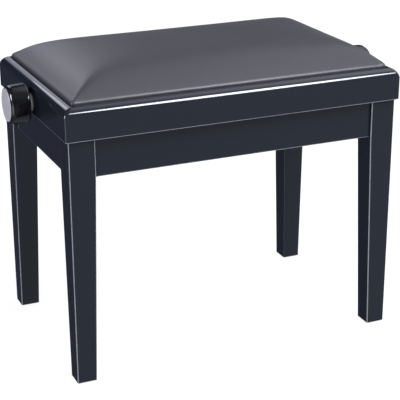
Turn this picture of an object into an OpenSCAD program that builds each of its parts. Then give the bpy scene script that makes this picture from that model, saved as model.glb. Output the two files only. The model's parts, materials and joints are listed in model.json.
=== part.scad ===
// Height-adjustable piano bench: a lacquered beech base and seat frame, a padded top, and a
// scissor lift that a threaded spindle with a knob at each end raises and lowers.
// Millimetres. +Z up, +X to the right, the front faces -Y, origin on the floor under the middle.

/* [Base] */
// Height of the leg tops, which the seat frame rests on when it is wound down
leg_top = 396; // [380:1:410]
// Side of a leg at its top
leg_w = 41.5; // [40:0.5:43]
// Side of a leg at the floor
foot_w = 31.5; // [28:0.5:36]
// Height of an apron
apron_h = 60; // [56:1:64]
// Thickness of an apron
apron_t = 18; // [16:1:20]
// Step from the seat frame's face back to a leg's face
leg_inset = 5; // [4:0.5:6]
// Step from a leg's face back to an apron's face
apron_inset = 5; // [4:0.5:6]

/* [Seat frame] */
// Length of the seat frame, left to right
seat_l = 560; // [540:5:600]
// Depth of the seat frame, front to back
seat_d = 350; // [340:5:370]
// Height of the seat frame's rails
frame_h = 50.5; // [49:0.5:54]
// Thickness of a rail at its bottom
frame_t = 22; // [21:0.5:24]
// Width of the rim round the cushion
rim_w = 15; // [14.5:0.5:16]
// Radius along the top outer edge of the rails
round_r = 14; // [10:1:14]
// Depth of the step that the seat board lies in
rebate = 17; // [16:0.5:18]

/* [Cushion] */
// Height of the cushion's crown above the floor, wound down
crown_z = 482; // [474:1:490]
// Gap between the cushion and the rim
cushion_gap = 1; // [0.5:0.25:1.5]
// Thickness of the seat board
board_t = 12; // [10:1:12]
// Thickness of the artificial leather
cover_t = 1; // [0.8:0.1:1.2]
// How fast the crown rises from the cushion's edge
crown_run = 29; // [22:1:36]

/* [Lift] */
// How far the seat rises
lift = 90; // [70:5:95]
// Distance between the end pivots of a scissor arm
arm_l = 360; // [340:5:370]
// Width of a scissor arm
arm_w = 24; // [22:1:26]
// Thickness of a scissor arm
arm_t = 4; // [3:0.5:4]
// Height of the lower pivots
low_z = 350; // [348:1:352]
// Height of the upper pivots, wound down
high_z = 398; // [396:1:398]
// Radius of the pivot and slide shafts
shaft_r = 5; // [4:0.5:5]
// Thickness of the steel guide rails
steel_t = 2.5; // [2:0.25:3]

/* [Spindle and knobs] */
// Height of the spindle, wound down
spindle_z = 412.4; // [412:0.2:413]
// Radius of the spindle
spindle_r = 6; // [5.5:0.25:6]
// Pitch of the spindle's thread
pitch = 3; // [2:0.5:4]
// Radius of a knob
knob_r = 31.5; // [29:0.5:33]
// Distance from the seat frame's side to the face of a knob's cap
knob_reach = 38.5; // [37:0.5:40]
// Radius of a knob's cap
cap_r = 26; // [24:0.5:26]

/* [Hidden] */
$fn = 64;
eps = 0.01;
running = 0.05;      // radial clearance of a shaft that turns
seated = 0.02;       // radial clearance of a shaft that is held
hole_play = 0.3;     // radial clearance of a screw or bolt in a through hole
end_play = 0.1;      // clearance along a shaft

// fasteners
screw_r = 2;
screw_head_r = 4;
screw_head_h = 2.4;
short_screw = 15;
nut_r = 7.5;
nut_h = 6.5;
washer_r = 10;
washer_t = 1.6;

// faces of the base
leg_x = seat_l / 2 - leg_inset;
leg_y = seat_d / 2 - leg_inset;
apron_x = leg_x - apron_inset;
apron_y = leg_y - apron_inset;
apron_z = leg_top - apron_h;
in_x = leg_x - leg_w;
in_y = leg_y - leg_w;
glide_t = 2;
glide_r = 11;
glide_edge = 0.6;
glide_pin_r = 1.5;
glide_pin = 12;

// corner blocks of the base: diagonal bars against the leg's chamfered inner edge
chamfer = 8;
block_sum = in_x + in_y + chamfer;
block_w = 18;
block_low = apron_z + 10;
block_high = leg_top - 2;
bolt_r = 4;
bolt_z = (block_low + block_high) / 2;
bolt_in_leg = 30;
bolt_out = 17;

// dowels between aprons and legs
dowel_r = 4;
dowel_half = 16;
dowel_z = [apron_z + 14, leg_top - 14];

// seat frame
frame_top = leg_top + frame_h;
frame_in_x = seat_l / 2 - frame_t;
frame_in_y = seat_d / 2 - frame_t;
ledge_z = frame_top - rebate;
corner_r = 2;
gusset = 45;
gusset_low = leg_top + 4;
gusset_high = ledge_z - 1.5;
block_screw_z = (gusset_low + gusset_high) / 2;
block_screw = 28;
block_screw_in = 28;
block_screw_sunk = 4;
block_screw_step = 8;
board_screw_in = 13;

// cushion
cover_x = seat_l / 2 - rim_w - cushion_gap;
cover_y = seat_d / 2 - rim_w - cushion_gap;
edge_z = frame_top + 3;
board_z = ledge_z + cover_t;
wrap_w = 22;
staple = [10, 1.2, 0.7];
staple_leg = 4;
staple_w = 0.6;

// lift: each arm pair lies in its own layer, counted from the outside of the bench inwards
fold_0 = asin((high_z - low_z) / arm_l);
fold_1 = asin((high_z - low_z + lift) / arm_l);
fixed_x = -arm_l * cos(fold_0) / 2;
slide_x = -fixed_x;
slide_x_up = fixed_x + arm_l * cos(fold_1);
slip = 0.5;
low_rail_y = 90;
arm_b_y = low_rail_y - steel_t - slip;
arm_a_y = arm_b_y - arm_t - slip;
high_rail_y = arm_a_y - arm_t - slip;
rail_inner_y = high_rail_y - steel_t;
bush_wall = 2;
slide_r = shaft_r + bush_wall;
slot_play = 0.2;
flange_w = 25;
tab_w = 25;
tab_hole_in = 15;
low_rail = [low_z - 12, low_z + 12];
high_rail = [high_z - 13, ledge_z - 1];
high_rail_end = leg_top + 8;
clip_t = 1.2;
clip_r = shaft_r + 3.5;
spacer_r = shaft_r + 3;
shaft_end = 3;       // how far a shaft stands out of a guide rail
arm_end = 2;         // how far a shaft stands out of an arm
head_r = shaft_r + 2.5;
head_t = 2;
rivet_t = 0.2;

// spindle and knobs
bush_r = 10;
bush_flange = 2;
hub_r = 11;
side_x = seat_l / 2;
face_x = side_x + knob_reach;
knob_back = side_x + 6;
knob_front = face_x - 1;
hub_back = side_x + bush_flange + 0.5;
web_x = side_x + 20;
web_t = 6;
stub_r = 4;
flat_x = hub_back + 2;
flat_z = 4.5;
knob_wall = 3;
edge_r = 7;
nut_l = 28;
nut_w = 28;
nut_wall = 5;
collar_l = 10;
collar_x = frame_in_x - 0.3 - collar_l / 2;
grub_r = 2.5;
grub_l = 5;
rib_t = 2;
cap_t = 3;
cap_play = 0.1;

// ---- helpers ----

module both_x() {
  children();
  mirror([1, 0, 0]) children();
}

module both_y() {
  children();
  mirror([0, 1, 0]) children();
}

module corners() {
  both_x() both_y() children();
}

// a cylinder along X, from a to b
module rod_x(r, a, b) {
  translate([a, 0, 0]) rotate([0, 90, 0]) cylinder(r = r, h = b - a);
}

// a cylinder along Y, from a to b
module rod_y(r, a, b) {
  translate([0, a, 0]) rotate([-90, 0, 0]) cylinder(r = r, h = b - a);
}

// a ring along Y, from a to b
module ring_y(r_out, r_in, a, b) {
  difference() {
    rod_y(r_out, a, b);
    rod_y(r_in, a - 1, b + 1);
  }
}

// a cross-head screw along Z: its head's underside at z = 0, its shank going up
module screw(shank) {
  tip = 3;
  cross = [4, 0.8, 1.2];
  difference() {
    union() {
      cylinder(r = screw_r, h = shank - tip);
      translate([0, 0, shank - tip]) cylinder(r1 = screw_r, r2 = screw_r / 5, h = tip);
      translate([0, 0, -screw_head_h]) cylinder(r1 = screw_head_r - 1, r2 = screw_head_r, h = screw_head_h);
    }
    for (turn = [0, 90]) rotate([0, 0, turn])
      translate([-cross.x / 2, -cross.y / 2, -screw_head_h - 1]) cube([cross.x, cross.y, cross.z + 1]);
  }
}

// the hole for a screw's shank in what it holds, and the pilot hole it is driven into
module through_hole(depth) { cylinder(r = screw_r + hole_play, h = depth, center = true); }
module pilot_hole(depth) { cylinder(r = screw_r + seated, h = depth); }

// an E-shaped retaining clip round a shaft along Y, with its near face at y = a
module e_clip(a) {
  difference() {
    ring_y(clip_r, shaft_r + seated, a, a + clip_t);
    translate([-shaft_r * 0.7, a - 1, -clip_r - 1]) cube([shaft_r * 1.4, clip_t + 2, clip_r]);
  }
}

// ---- base ----

// the right rear leg: upright outer faces, inner faces that taper below the aprons
module leg() {
  difference() {
    intersection() {
      translate([0, leg_y, 0]) rotate([90, 0, 0]) linear_extrude(leg_w) leg_side(leg_x);
      translate([leg_x, 0, 0]) rotate([90, 0, -90]) linear_extrude(leg_w) mirror([1, 0]) leg_side(leg_y);
    }
    // flat that the corner block bears on
    translate([in_x, in_y, block_low - 4]) rotate([0, 0, 45])
      translate([-leg_w, -leg_w, 0]) cube([leg_w + chamfer / sqrt(2), 2 * leg_w, apron_h]);
    on_bolt_axis() rod_x(bolt_r + seated, -1, bolt_in_leg);
    leg_dowels(dowel_r + seated);
    translate([leg_x - foot_w / 2, leg_y - foot_w / 2, 0])
      cylinder(r = glide_pin_r + seated, h = glide_t + glide_pin + 1);
  }
}

// outline of a leg seen from the front or the side, with its outer face at x = outer
module leg_side(outer) {
  polygon([[outer, glide_t], [outer, leg_top], [outer - leg_w, leg_top], [outer - leg_w, apron_z],
           [outer - foot_w, glide_t]]);
}

// runs from the middle of the leg's chamfer into the leg, at the hanger bolt's height
module on_bolt_axis() {
  translate([in_x + chamfer / 2, in_y + chamfer / 2, bolt_z]) rotate([0, 0, 45]) children();
}

module leg_dowels(r) {
  for (z = dowel_z) {
    translate([0, apron_y - apron_t / 2, z]) rod_x(r, in_x - dowel_half, in_x + dowel_half);
    translate([apron_x - apron_t / 2, 0, z]) rod_y(r, in_y - dowel_half, in_y + dowel_half);
  }
}

module leg_front_left() { color("#25272d") mirror([1, 0, 0]) mirror([0, 1, 0]) leg(); }
module leg_front_right() { color("#25272d") mirror([0, 1, 0]) leg(); }
module leg_rear_left() { color("#25272d") mirror([1, 0, 0]) leg(); }
module leg_rear_right() { color("#25272d") leg(); }

module long_apron() {
  difference() {
    translate([-in_x, apron_y - apron_t, apron_z]) cube([2 * in_x, apron_t, apron_h]);
    both_x() leg_dowels(dowel_r + seated);
  }
}

module side_apron() {
  difference() {
    translate([apron_x - apron_t, -in_y, apron_z]) cube([apron_t, 2 * in_y, apron_h]);
    both_y() leg_dowels(dowel_r + seated);
    both_y() low_rail_screw_places() pilot_hole(short_screw);
  }
}

module apron_front() { color("#24262c") mirror([0, 1, 0]) long_apron(); }
module apron_rear() { color("#24262c") long_apron(); }
module apron_left() { color("#24262c") mirror([1, 0, 0]) side_apron(); }
module apron_right() { color("#24262c") side_apron(); }

// diagonal bars that the leg bolts pull the legs against
module corner_blocks() {
  wall_x = apron_x - apron_t;
  wall_y = apron_y - apron_t;
  inner = block_sum - block_w * sqrt(2);
  color("#a8875a") corners() difference() {
    translate([0, 0, block_low]) linear_extrude(block_high - block_low)
      polygon([[wall_x, block_sum - wall_x], [wall_x, inner - wall_x],
               [inner - wall_y, wall_y], [block_sum - wall_y, wall_y]]);
    on_bolt_axis() rod_x(bolt_r + hole_play, -block_w - 1, 1);
  }
}

module apron_dowels() { color("#c9a877") corners() leg_dowels(dowel_r); }

module leg_bolts() {
  color("#8f9297") corners() on_bolt_axis() rod_x(bolt_r, -block_w - bolt_out, bolt_in_leg);
}

module leg_bolt_washers() {
  color("#a5a8ac") corners() on_bolt_axis() difference() {
    rod_x(washer_r, -block_w - washer_t, -block_w);
    rod_x(bolt_r + hole_play, -block_w - washer_t - 1, 1);
  }
}

module leg_bolt_nuts() {
  color("#a5a8ac") corners() on_bolt_axis() difference() {
    translate([-block_w - washer_t - nut_h, 0, 0]) rotate([0, 90, 0]) cylinder(r = nut_r, h = nut_h, $fn = 6);
    rod_x(bolt_r + seated, -block_w - bolt_out, 1);
  }
}

module foot_glides() {
  color("#3a3a3c") corners() translate([leg_x - foot_w / 2, leg_y - foot_w / 2, 0]) {
    translate([0, 0, glide_edge]) cylinder(r = glide_r, h = glide_t - glide_edge);
    cylinder(r1 = glide_r - 1, r2 = glide_r, h = glide_edge);
    cylinder(r = glide_pin_r, h = glide_t + glide_pin);
  }
}

// ---- lower guide rails, fixed between the side aprons ----

module low_rail_screw_places() {
  for (z = [low_rail[0] + 7, low_rail[1] - 5])
    translate([apron_x - apron_t - steel_t, low_rail_y - steel_t - tab_hole_in, z]) rotate([0, 90, 0])
      children();
}

module lower_rail() {
  end_x = apron_x - apron_t;
  h = low_rail[1] - low_rail[0];
  difference() {
    union() {
      translate([-end_x, low_rail_y - steel_t, low_rail[0]]) cube([2 * end_x, steel_t, h]);
      translate([-end_x, low_rail_y - steel_t, low_rail[0]])
        cube([2 * end_x, flange_w, steel_t]);
      both_x() translate([end_x - steel_t, low_rail_y - steel_t - tab_w, low_rail[0]])
        cube([steel_t, tab_w + eps, h]);
    }
    translate([fixed_x, 0, low_z]) rod_y(shaft_r + seated, 0, low_rail_y + 10);
    slide_slot(low_z);
    both_x() low_rail_screw_places() through_hole(10);
  }
}

// slot along X for a sliding shaft and its bushes, through either guide rail
module slide_slot(z) {
  r = slide_r + slot_play;
  from = slide_x_up - 1;
  to = slide_x + 1;
  near = rail_inner_y - 10;
  far = low_rail_y + 10;
  translate([0, 0, z]) {
    translate([from, near, -r]) cube([to - from, far - near, 2 * r]);
    for (x = [from, to]) translate([x, 0, 0]) rod_y(r, near, far);
  }
}

module lower_rail_front() { color("#2d2e31") mirror([0, 1, 0]) lower_rail(); }
module lower_rail_rear() { color("#2d2e31") lower_rail(); }
module lower_rail_screws() { color("#9a9da1") corners() low_rail_screw_places() screw(short_screw); }

module lower_pivot_shaft() {
  color("#9a9da1") translate([fixed_x, 0, low_z])
    rod_y(shaft_r, -low_rail_y - shaft_end, low_rail_y + shaft_end);
}

module lower_pivot_spacers() {
  color("#8f9297") translate([fixed_x, 0, low_z])
    both_y() ring_y(spacer_r, shaft_r + seated, arm_a_y + end_play, low_rail_y - steel_t);
}

module lower_pivot_clips() {
  color("#55585c") translate([fixed_x, 0, low_z]) both_y() {
    e_clip(low_rail_y + end_play);
    e_clip(arm_a_y - arm_t - end_play - clip_t);
  }
}

// ---- scissor arms ----

// a flat bar with an eye at each end and one in the middle; x runs along the bar
module arm_bar(start_r, middle_r, end_r) {
  rotate([90, 0, 0]) linear_extrude(arm_t) difference() {
    union() {
      translate([0, -arm_w / 2]) square([arm_l, arm_w]);
      for (x = [0, arm_l]) translate([x, 0]) circle(r = arm_w / 2);
    }
    circle(r = start_r);
    translate([arm_l / 2, 0]) circle(r = middle_r);
    translate([arm_l, 0]) circle(r = end_r);
  }
}

// arm A rises to the right from the fixed lower pivot
module arm_a(y) {
  translate([fixed_x, y, low_z]) rotate([0, -fold_0, 0])
    arm_bar(shaft_r + running, shaft_r + seated, shaft_r + seated);
}

// arm B falls to the right from the fixed upper pivot
module arm_b(y) {
  translate([fixed_x, y, high_z]) rotate([0, fold_0, 0])
    arm_bar(shaft_r + running, shaft_r + running, shaft_r + seated);
}

module arm_a_front() { color("#3a3b3f") arm_a(-arm_a_y + arm_t); }
module arm_a_rear() { color("#3a3b3f") arm_a(arm_a_y); }
module arm_b_front() { color("#46484c") arm_b(-arm_b_y + arm_t); }
module arm_b_rear() { color("#46484c") arm_b(arm_b_y); }

// pins with a head at the inner end and one at the outer end that is thin enough to pass the guide rail
module centre_pins() {
  inside = arm_a_y - arm_t - rivet_t;
  outside = arm_b_y + rivet_t;
  color("#9a9da1") translate([0, 0, (low_z + high_z) / 2]) both_y() {
    rod_y(shaft_r, inside, outside);
    rod_y(head_r, inside - head_t, inside);
    rod_y(head_r, outside, outside + rivet_t);
  }
}

module upper_slide_shaft() {
  color("#9a9da1") translate([slide_x, 0, high_z])
    rod_y(shaft_r, -arm_a_y - arm_end, arm_a_y + arm_end);
}

module upper_slide_bushes() {
  color("#e3e0d6") translate([slide_x, 0, high_z])
    both_y() ring_y(slide_r, shaft_r + seated, rail_inner_y, arm_a_y - arm_t - end_play);
}

module upper_slide_clips() {
  color("#55585c") translate([slide_x, 0, high_z]) both_y() {
    e_clip(arm_a_y + end_play);
    e_clip(rail_inner_y - 3 * end_play - clip_t);
  }
}

module lower_slide_shaft() {
  color("#9a9da1") translate([slide_x, 0, low_z])
    rod_y(shaft_r, -low_rail_y - shaft_end, low_rail_y + shaft_end);
}

module lower_slide_bushes() {
  color("#e3e0d6") translate([slide_x, 0, low_z])
    both_y() ring_y(slide_r, shaft_r + seated, arm_b_y + end_play, low_rail_y);
}

module lower_slide_clips() {
  color("#55585c") translate([slide_x, 0, low_z]) both_y() {
    e_clip(low_rail_y + 3 * end_play);
    e_clip(arm_b_y - arm_t - end_play - clip_t);
  }
}

// ---- seat frame ----

// section of a rail, with its outer face at x = outer and z upwards
module rail_section(outer) {
  difference() {
    union() {
      translate([outer - frame_t, leg_top]) square([frame_t, frame_h - round_r]);
      translate([outer - frame_t, leg_top]) square([frame_t - round_r, frame_h]);
      intersection() {
        translate([outer - round_r, frame_top - round_r]) circle(r = round_r);
        translate([outer - round_r, frame_top - round_r]) square(round_r);
      }
    }
    translate([outer - frame_t - 1, ledge_z]) square([frame_t - rim_w + 1, rebate + 1]);
  }
}

// everything on the outer side of the mitres of the right rail
module mitre_x() {
  back = seat_l / 2 - seat_d / 2;
  translate([back, 0, leg_top - 1]) linear_extrude(frame_h + 2)
    polygon([[0, 0], [seat_d, seat_d], [seat_d, -seat_d]]);
}

// the frame's plan with slightly eased corners
module frame_plan() {
  x = seat_l / 2;
  y = seat_d / 2;
  translate([0, 0, leg_top - 1]) linear_extrude(frame_h + 2) {
    square([2 * x - 2 * corner_r, 2 * y], center = true);
    square([2 * x, 2 * y - 2 * corner_r], center = true);
    for (sx = [-1, 1], sy = [-1, 1])
      translate([sx * (x - corner_r), sy * (y - corner_r)]) circle(r = corner_r);
  }
}

module side_rail() {
  difference() {
    intersection() {
      translate([0, seat_d / 2, 0]) rotate([90, 0, 0]) linear_extrude(seat_d) rail_section(seat_l / 2);
      mitre_x();
      frame_plan();
    }
    translate([0, 0, spindle_z]) rod_x(bush_r + seated, frame_in_x - 1, side_x + 1);
    both_y() high_rail_screw_places() pilot_hole(short_screw);
    both_y() block_screw_x() pilot_hole(block_screw + 2);
  }
}

module long_rail() {
  difference() {
    intersection() {
      translate([-seat_l / 2, 0, 0]) rotate([90, 0, 90]) linear_extrude(seat_l)
        rail_section(seat_d / 2);
      difference() {
        translate([-seat_l, 0, leg_top - 1]) cube([2 * seat_l, seat_d, frame_h + 2]);
        both_x() mitre_x();
      }
      frame_plan();
    }
    both_x() block_screw_y() pilot_hole(block_screw + 2);
  }
}

module seat_rail_front() { color("#24262c") mirror([0, 1, 0]) long_rail(); }
module seat_rail_rear() { color("#24262c") long_rail(); }
module seat_rail_left() { color("#24262c") mirror([1, 0, 0]) side_rail(); }
module seat_rail_right() { color("#24262c") side_rail(); }

// places of the screws through a corner block: into the side rail, into the long rail, into the board
module block_screw_x() {
  translate([frame_in_x - (gusset - block_screw_in - block_screw_sunk), frame_in_y - block_screw_in,
             block_screw_z])
    rotate([0, 90, 0]) children();
}

module block_screw_y() {
  translate([frame_in_x - block_screw_in, frame_in_y - (gusset - block_screw_in - block_screw_sunk),
             block_screw_z + block_screw_step])
    rotate([-90, 0, 0]) children();
}

module board_screw() {
  translate([frame_in_x - board_screw_in, frame_in_y - board_screw_in, gusset_low]) children();
}

// a through hole with a counterbore that the screw's head lies in
module sunk_hole() {
  through_hole(2 * gusset);
  translate([0, 0, -gusset]) cylinder(r = screw_head_r + hole_play, h = gusset);
}

// triangular blocks in the frame's inner corners
module frame_corner_blocks() {
  color("#a8875a") corners() difference() {
    translate([0, 0, gusset_low]) linear_extrude(gusset_high - gusset_low)
      polygon([[frame_in_x, frame_in_y], [frame_in_x - gusset, frame_in_y],
               [frame_in_x, frame_in_y - gusset]]);
    block_screw_x() sunk_hole();
    block_screw_y() sunk_hole();
    board_screw() through_hole(2 * gusset);
  }
}

module frame_block_screws() {
  color("#9a9da1") corners() {
    block_screw_x() screw(block_screw);
    block_screw_y() screw(block_screw);
  }
}

module seat_board_screws() {
  color("#9a9da1") corners() board_screw() screw(board_z + board_t - 3 - gusset_low);
}

module seat_board() {
  color("#b08a55") difference() {
    translate([-cover_x + cover_t, -cover_y + cover_t, board_z])
      cube([2 * (cover_x - cover_t), 2 * (cover_y - cover_t), board_t]);
    corners() board_screw() pilot_hole(frame_h);
    corners() staple_places() staple_slit();
  }
}

// ---- cushion ----

// how far the crown has risen, from 0 to 1, at a distance s in from the cushion's edge
function puff(s) = 1 - exp(-pow(s / crown_run, 1.4));

// distance from the edge at which the crown is flat
crown_flat = 3.2 * crown_run;

// outline of half a crown, from its edge to its middle: [distance in from the edge, height]
function crown_line(half, edge, top) =
  [for (k = [0:10]) let (s = crown_flat * pow(k / 10, 1.5))
    [half - s, edge + (top - edge) * puff(s) / puff(crown_flat)]];

module crown_outline(half, low, edge, top) {
  line = crown_line(half, edge, top);
  polygon(concat([[-half, low], [half, low]], line, [for (k = [10:-1:0]) [-line[k].x, line[k].y]]));
}

// a crowned block: flat underside at z = low, upright sides to z = edge, crown at z = top
module crowned(half_x, half_y, low, edge, top) {
  intersection() {
    translate([0, half_y, 0]) rotate([90, 0, 0]) linear_extrude(2 * half_y)
      crown_outline(half_x, low, edge, top);
    translate([-half_x, 0, 0]) rotate([90, 0, 90]) linear_extrude(2 * half_x)
      crown_outline(half_y, low, edge, top);
  }
}

foam_gap = 0.1;

module cushion_foam() {
  inset = cover_t + foam_gap;
  color("#e6dcb8") crowned(cover_x - inset, cover_y - inset, board_z + board_t, edge_z - inset,
                           crown_z - inset);
}

// skin over the foam, down the board's edges and in under the board
module cushion_cover() {
  color("#3f4045") difference() {
    crowned(cover_x, cover_y, ledge_z, edge_z, crown_z);
    crowned(cover_x - cover_t, cover_y - cover_t, board_z, edge_z - cover_t, crown_z - cover_t);
    translate([-cover_x + wrap_w, -cover_y + wrap_w, ledge_z - 1])
      cube([2 * (cover_x - wrap_w), 2 * (cover_y - wrap_w), cover_t + 2]);
    corners() board_screw() cylinder(r = screw_r + hole_play, h = board_z - gusset_low + 1);
    corners() staple_places() staple_slit();
  }
}

// staples through the wrapped edge into the board, one quarter of them
module staple_places() {
  step = 45;
  in = wrap_w - 6;
  for (x = [step / 2:step:cover_x - 70]) translate([x, cover_y - in, board_z]) children();
  for (y = [step / 2:step:cover_y - 50]) translate([cover_x - in, y, board_z]) rotate([0, 0, 90])
    children();
}

// the slit that a staple's legs make in the board and the wrapped edge
module staple_slit() {
  cube([staple.x + 0.2, staple.y + 0.2, 2 * staple_leg], center = true);
}

module cover_staples() {
  color("#b9bbbe") corners() staple_places() {
    translate([-staple.x / 2, -staple.y / 2, -cover_t - staple.z]) cube([staple.x, staple.y, staple.z]);
    for (x = [-staple.x / 2, staple.x / 2 - staple_w])
      translate([x, -staple_w / 2, -cover_t - staple.z + eps]) cube([staple_w, staple_w, staple_leg]);
  }
}

// ---- upper guide rails, fixed between the side rails of the seat frame ----

module high_rail_screw_places() {
  for (z = [high_rail_end + 7, high_rail[1] - 7])
    translate([frame_in_x - steel_t, rail_inner_y - tab_hole_in, z]) rotate([0, 90, 0]) children();
}

module upper_rail() {
  // the web is deepest between the pivots, and its ends pass over the base's corner blocks
  deep = slide_x + 28;
  shallow = slide_x + 50;
  web = [[-frame_in_x, high_rail_end], [-shallow, high_rail_end], [-deep, high_rail[0]],
         [deep, high_rail[0]], [shallow, high_rail_end], [frame_in_x, high_rail_end],
         [frame_in_x, high_rail[1]], [-frame_in_x, high_rail[1]]];
  difference() {
    union() {
      translate([0, high_rail_y, 0]) rotate([90, 0, 0]) linear_extrude(steel_t) polygon(web);
      translate([-frame_in_x, high_rail_y - flange_w, high_rail[1] - steel_t])
        cube([2 * frame_in_x, flange_w, steel_t]);
      both_x() translate([frame_in_x - steel_t, rail_inner_y - tab_w, high_rail_end])
        cube([steel_t, tab_w + eps, high_rail[1] - high_rail_end]);
    }
    translate([fixed_x, 0, high_z]) rod_y(shaft_r + seated, 0, high_rail_y + 10);
    slide_slot(high_z);
    both_x() high_rail_screw_places() through_hole(10);
  }
}

module upper_rail_front() { color("#2d2e31") mirror([0, 1, 0]) upper_rail(); }
module upper_rail_rear() { color("#2d2e31") upper_rail(); }
module upper_rail_screws() { color("#9a9da1") corners() high_rail_screw_places() screw(short_screw); }

module upper_pivot_shaft() {
  color("#9a9da1") translate([fixed_x, 0, high_z])
    rod_y(shaft_r, -arm_b_y - arm_end, arm_b_y + arm_end);
}

module upper_pivot_spacers() {
  color("#8f9297") translate([fixed_x, 0, high_z])
    both_y() ring_y(spacer_r, shaft_r + seated, high_rail_y, arm_b_y - arm_t - end_play);
}

module upper_pivot_clips() {
  color("#55585c") translate([fixed_x, 0, high_z]) both_y() {
    e_clip(arm_b_y + end_play);
    e_clip(rail_inner_y - end_play - clip_t);
  }
}

// ---- spindle, nut and knobs; each is drawn for the right-hand side and mirrored ----

module spindle_bushes() {
  color("#e3e0d6") both_x() translate([0, 0, spindle_z]) difference() {
    union() {
      rod_x(bush_r, frame_in_x, side_x);
      rod_x(bush_r + 4, side_x, side_x + bush_flange);
    }
    rod_x(spindle_r + running, frame_in_x - 1, side_x + 3);
  }
}

// block with one hole for the spindle and one for the slide shaft below it
module spindle_nut() {
  low = high_z - shaft_r - nut_wall;
  high = spindle_z + spindle_r + nut_wall;
  color("#b89a55") difference() {
    translate([slide_x - nut_l / 2, -nut_w / 2, low]) cube([nut_l, nut_w, high - low]);
    translate([0, 0, spindle_z]) rod_x(spindle_r + running, slide_x - nut_l, slide_x + nut_l);
    translate([slide_x, 0, high_z]) rod_y(shaft_r + running, -nut_w, nut_w);
  }
}

// a rod with the thread as a row of ridges, a flat on each end for the knobs and a stub for their nuts
module spindle() {
  start = floor((slide_x_up - nut_l) / pitch) * pitch;
  turns = ceil((slide_x + nut_l - start) / pitch);
  root = spindle_r - 0.3 * pitch;
  thread = [for (k = [0:turns - 1], p = [[0.1, root], [0.4, root], [0.6, spindle_r], [0.9, spindle_r]])
    [p[1], start + (k + p[0]) * pitch]];
  color("#a5a8ac") translate([0, 0, spindle_z]) {
    rotate([0, 90, 0]) rotate_extrude() polygon(concat(
      [[0, -hub_back], [spindle_r, -hub_back], [spindle_r, start]], thread,
      [[spindle_r, start + turns * pitch], [spindle_r, hub_back], [0, hub_back]]));
    both_x() {
      difference() {
        rod_x(spindle_r, hub_back - eps, web_x);
        translate([flat_x, -spindle_r, flat_z]) cube([web_x, 2 * spindle_r, spindle_r]);
      }
      rod_x(stub_r, web_x - eps, web_x + web_t + nut_h + 0.5);
    }
  }
}

module thrust_collars() {
  color("#8f9297") both_x() translate([0, 0, spindle_z]) difference() {
    rod_x(hub_r, collar_x - collar_l / 2, collar_x + collar_l / 2);
    rod_x(spindle_r + seated, 0, frame_in_x);
    translate([collar_x, 0, 0]) cylinder(r = grub_r + seated, h = 2 * hub_r);
  }
}

// grub screws with a hexagon socket
module collar_screws() {
  color("#4a4c50") both_x() translate([collar_x, 0, spindle_z + spindle_r + running]) difference() {
    cylinder(r = grub_r, h = grub_l);
    translate([0, 0, grub_l / 2]) cylinder(r = grub_r / 2, h = grub_l, $fn = 6);
  }
}

// a hollow plastic knob with a ribbed back, a hub on the spindle and a pocket for its nut
module knob() {
  translate([0, 0, spindle_z]) difference() {
    union() {
      difference() {
        knob_turned();
        rod_x(knob_r - knob_wall, knob_back - 1, web_x);
      }
      rod_x(hub_r, hub_back, web_x + 1);
      for (turn = [0:60:300]) rotate([turn, 0, 0]) translate([knob_back + 4, -rib_t / 2, hub_r - 1])
        cube([web_x - knob_back - 3, rib_t, knob_r - knob_wall - hub_r + 2]);
    }
    difference() {
      rod_x(spindle_r + seated, hub_back - 1, web_x);
      translate([flat_x, -hub_r, flat_z + seated]) cube([web_x, 2 * hub_r, hub_r]);
    }
    rod_x(stub_r + seated, web_x - 1, face_x);
    rod_x(hub_r, web_x + web_t, face_x);
    rod_x(cap_r + cap_play, face_x - cap_t - 2 * cap_play, face_x);
  }
}

// the knob's outside, turned about X: a plain drum with a rounded front edge
module knob_turned() {
  rotate([0, 90, 0]) rotate_extrude() {
    translate([0, knob_back]) square([knob_r - 1, knob_front - knob_back - edge_r]);
    translate([0, knob_back + 1]) square([knob_r, knob_front - knob_back - edge_r - 1]);
    translate([0, knob_front - edge_r - 1]) square([knob_r - edge_r, edge_r + 1]);
    intersection() {
      translate([knob_r - edge_r, knob_front - edge_r]) circle(r = edge_r);
      square([knob_r, knob_front]);
    }
  }
}

module knob_left() { color("#1c1c20") mirror([1, 0, 0]) knob(); }
module knob_right() { color("#1c1c20") knob(); }

module knob_cap() {
  edge = 0.8;
  translate([0, 0, spindle_z]) rotate([0, 90, 0]) {
    translate([0, 0, face_x - cap_t - cap_play]) cylinder(r = cap_r, h = cap_t + cap_play - edge);
    translate([0, 0, face_x - edge]) cylinder(r1 = cap_r, r2 = cap_r - edge, h = edge);
  }
}

module knob_cap_left() { color("#b4b2bb") mirror([1, 0, 0]) knob_cap(); }
module knob_cap_right() { color("#b4b2bb") knob_cap(); }

module knob_nuts() {
  color("#a5a8ac") both_x() translate([web_x + web_t, 0, spindle_z]) difference() {
    rotate([0, 90, 0]) cylinder(r = nut_r, h = nut_h, $fn = 6);
    rod_x(stub_r + seated, -1, nut_h + 1);
  }
}

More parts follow.
